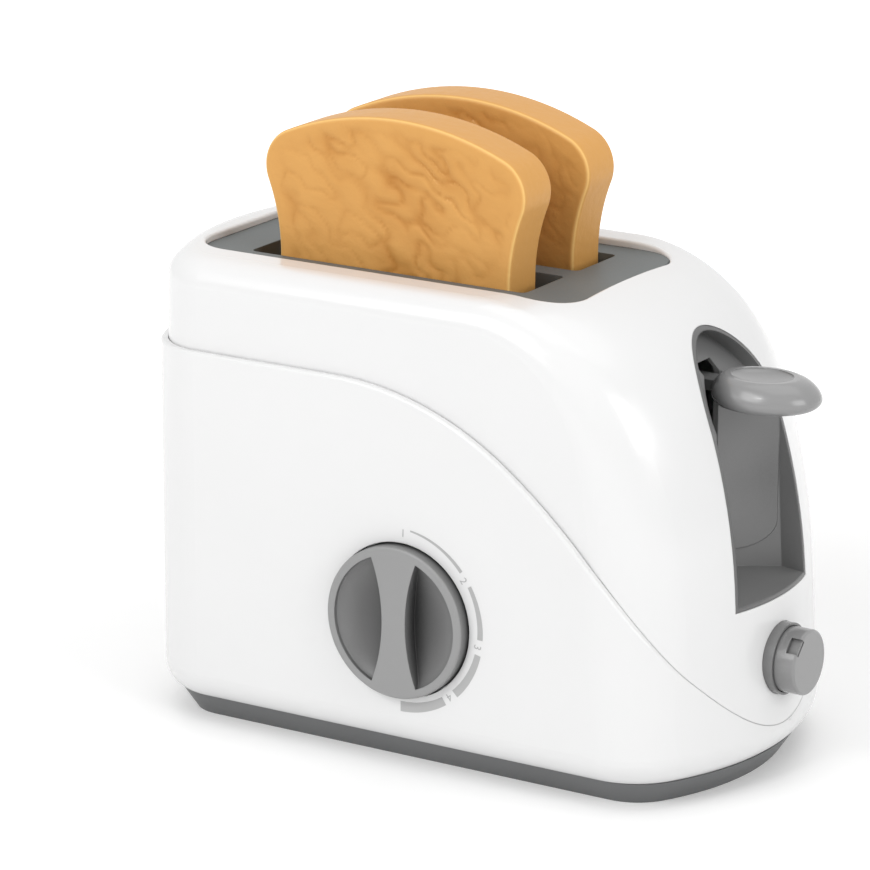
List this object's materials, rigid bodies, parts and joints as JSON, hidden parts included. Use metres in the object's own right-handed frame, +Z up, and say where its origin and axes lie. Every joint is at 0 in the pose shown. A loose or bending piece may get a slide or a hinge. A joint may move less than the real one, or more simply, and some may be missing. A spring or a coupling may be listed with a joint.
{
  "type": "toy pop-up toaster",
  "caption": "Toy pop-up toaster: moulded casing with two slots and pretend toast, a sprung lever, a clockwork dial and a stop button.",
  "frame": {"origin": "middle of the flat underside of the base plate, on the floor", "axes": "+Z up; +X towards the end with the lever and the stop button; -Y towards the side with the dial"},
  "size_m": [0.2093, 0.1136, 0.1874],
  "materials": {
    "white_casing": "gloss white moulded ABS",
    "slate_trim": "satin slate grey ABS",
    "grey_control": "satin mid grey ABS",
    "well_grey": "satin grey ABS",
    "base_grey": "fine textured dark grey ABS",
    "inner_black": "dark moulded plastic",
    "toast_foam": "blow moulded toast, tan",
    "spring_steel": "spring wire",
    "rod_steel": "drawn rod",
    "plate_steel": "pressed sheet",
    "gear_acetal": "natural acetal",
    "screw_zinc": "zinc plated"
  },
  "bodies": {
    "casing": {"upper_casing": "white_casing", "lower_casing": "white_casing", "base_plate": "base_grey", "top_insert": "slate_trim", "lever_well": "well_grey", "toast_chamber": "inner_black", "guide_rod_front": "rod_steel", "guide_rod_rear": "rod_steel", "mainspring": "spring_steel", "timer_front_plate": "plate_steel", "timer_back_plate": "plate_steel", "timer_pillars": "rod_steel", "timer_screws": "screw_zinc", "button_collar": "grey_control", "button_spring": "spring_steel", "latch_pin": "rod_steel", "base_screws": "screw_zinc", "chamber_screws": "screw_zinc"},
    "carriage": {"toast_carriage": "inner_black", "lever_arm": "plate_steel", "lever_screws": "screw_zinc", "lever_handle": "grey_control", "lift_spring_front": "spring_steel", "lift_spring_rear": "spring_steel"},
    "dial": {"dial_knob": "grey_control", "timer_spindle": "rod_steel", "main_wheel": "gear_acetal", "trip_cam": "gear_acetal"},
    "second_gear": {"second_wheel": "gear_acetal"},
    "fly": {"fly_governor": "gear_acetal"},
    "button": {"stop_button": "grey_control"},
    "catch": {"latch_lever": "inner_black"},
    "front_slice": {"toast_front": "toast_foam"},
    "rear_slice": {"toast_rear": "toast_foam"}
  },
  "joints": [
    {"name": "carriage_slide", "type": "slide", "parent": "casing", "child": "carriage", "axis": [0, 0, -1], "range_m": [0, 0.044], "stiffness_N_per_m": 120, "springref_m": -0.03, "deforming": ["lift_spring_front", "lift_spring_rear"]},
    {"name": "dial_turn", "type": "hinge", "parent": "casing", "child": "dial", "pos_m": [0.0025, -0.045, 0.0458], "axis": [0, 1, 0], "range_deg": [0, 180]},
    {"name": "second_spin", "type": "hinge", "parent": "casing", "child": "second_gear", "pos_m": [-0.0155, -0.04, 0.0458], "axis": [0, 1, 0], "range_deg": [-631, 1]},
    {"name": "fly_spin", "type": "hinge", "parent": "casing", "child": "fly", "pos_m": [-0.02097, -0.04, 0.03076], "axis": [0, 1, 0], "range_deg": [-1, 1891]},
    {"name": "button_press", "type": "slide", "parent": "casing", "child": "button", "axis": [-1, 0, 0], "range_m": [0, 0.004], "stiffness_N_per_m": 400, "springref_m": -0.004},
    {"name": "catch_swing", "type": "hinge", "parent": "casing", "child": "catch", "pos_m": [0.05, 0, 0.02], "axis": [0, -1, 0], "range_deg": [-0.5, 15]},
    {"name": "front_slice_lift", "type": "slide", "parent": "carriage", "child": "front_slice", "axis": [0, 0, 1], "range_m": [0, 0.095]},
    {"name": "rear_slice_lift", "type": "slide", "parent": "carriage", "child": "rear_slice", "axis": [0, 0, 1], "range_m": [0, 0.095]}
  ],
  "couplings": [
    {"joint": "second_spin", "follows": "dial_turn", "ratio": -3.5},
    {"joint": "fly_spin", "follows": "dial_turn", "ratio": 10.5},
    {"joint": "catch_swing", "follows": "button_press", "rad_per_m": 62.8}
  ]
}
